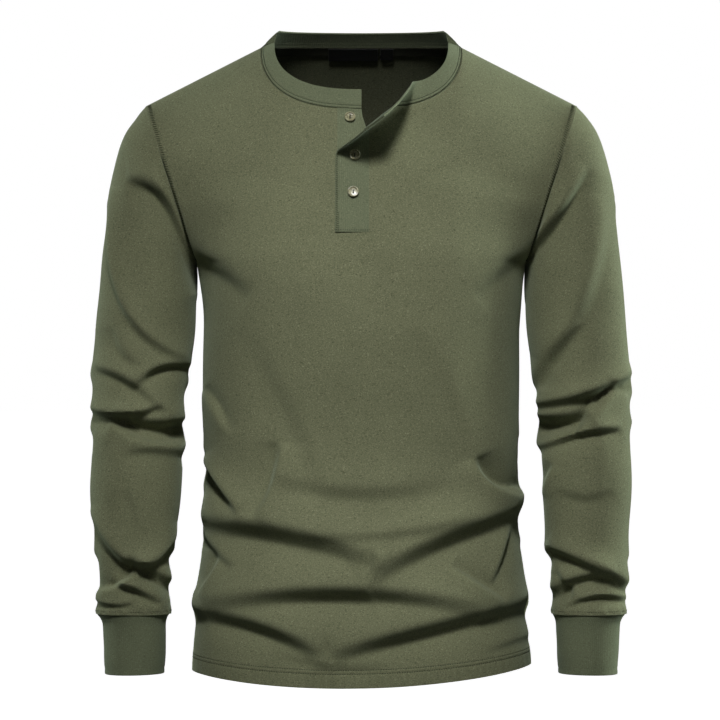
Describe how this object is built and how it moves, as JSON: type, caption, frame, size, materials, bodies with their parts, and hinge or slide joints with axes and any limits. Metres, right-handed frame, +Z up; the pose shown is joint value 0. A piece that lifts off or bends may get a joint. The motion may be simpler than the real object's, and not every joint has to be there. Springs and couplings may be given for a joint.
{
  "type": "long-sleeved henley shirt",
  "caption": "Long-sleeved henley shirt in jersey, filled out as if worn, with round neckband, half placket turned open at the top, buttons and banded cuffs.",
  "frame": {"origin": "middle of the neck opening, level with the shoulder points beside the neck, where the wearer's neck and shoulders hold the shirt up", "axes": "+Z up towards the head, -Y out of the front with the placket, +X towards the wearer's left sleeve"},
  "size_m": [0.5767, 0.2654, 0.6982],
  "materials": {
    "jersey": "olive green melange cotton jersey, matt with a soft nap",
    "rib": "smoother, greener double cloth of the neckband, placket and cuffs, matt",
    "tape": "dark woven neck tape",
    "label": "plain black woven satin, no lettering",
    "button": "pale horn-like plastic, satin, faintly clouded"
  },
  "bodies": {
    "root": {"front": "jersey", "back": "jersey", "sleeve_right": "jersey", "sleeve_left": "jersey", "cuff_right": "rib", "cuff_left": "rib", "neckband": "rib", "placket_under": "rib", "placket_upper": "rib", "neck_tape": "tape", "neck_label": "label", "size_tab": "label", "button_top": "button", "button_middle": "button", "button_bottom": "button"}
  },
  "joints": []
}
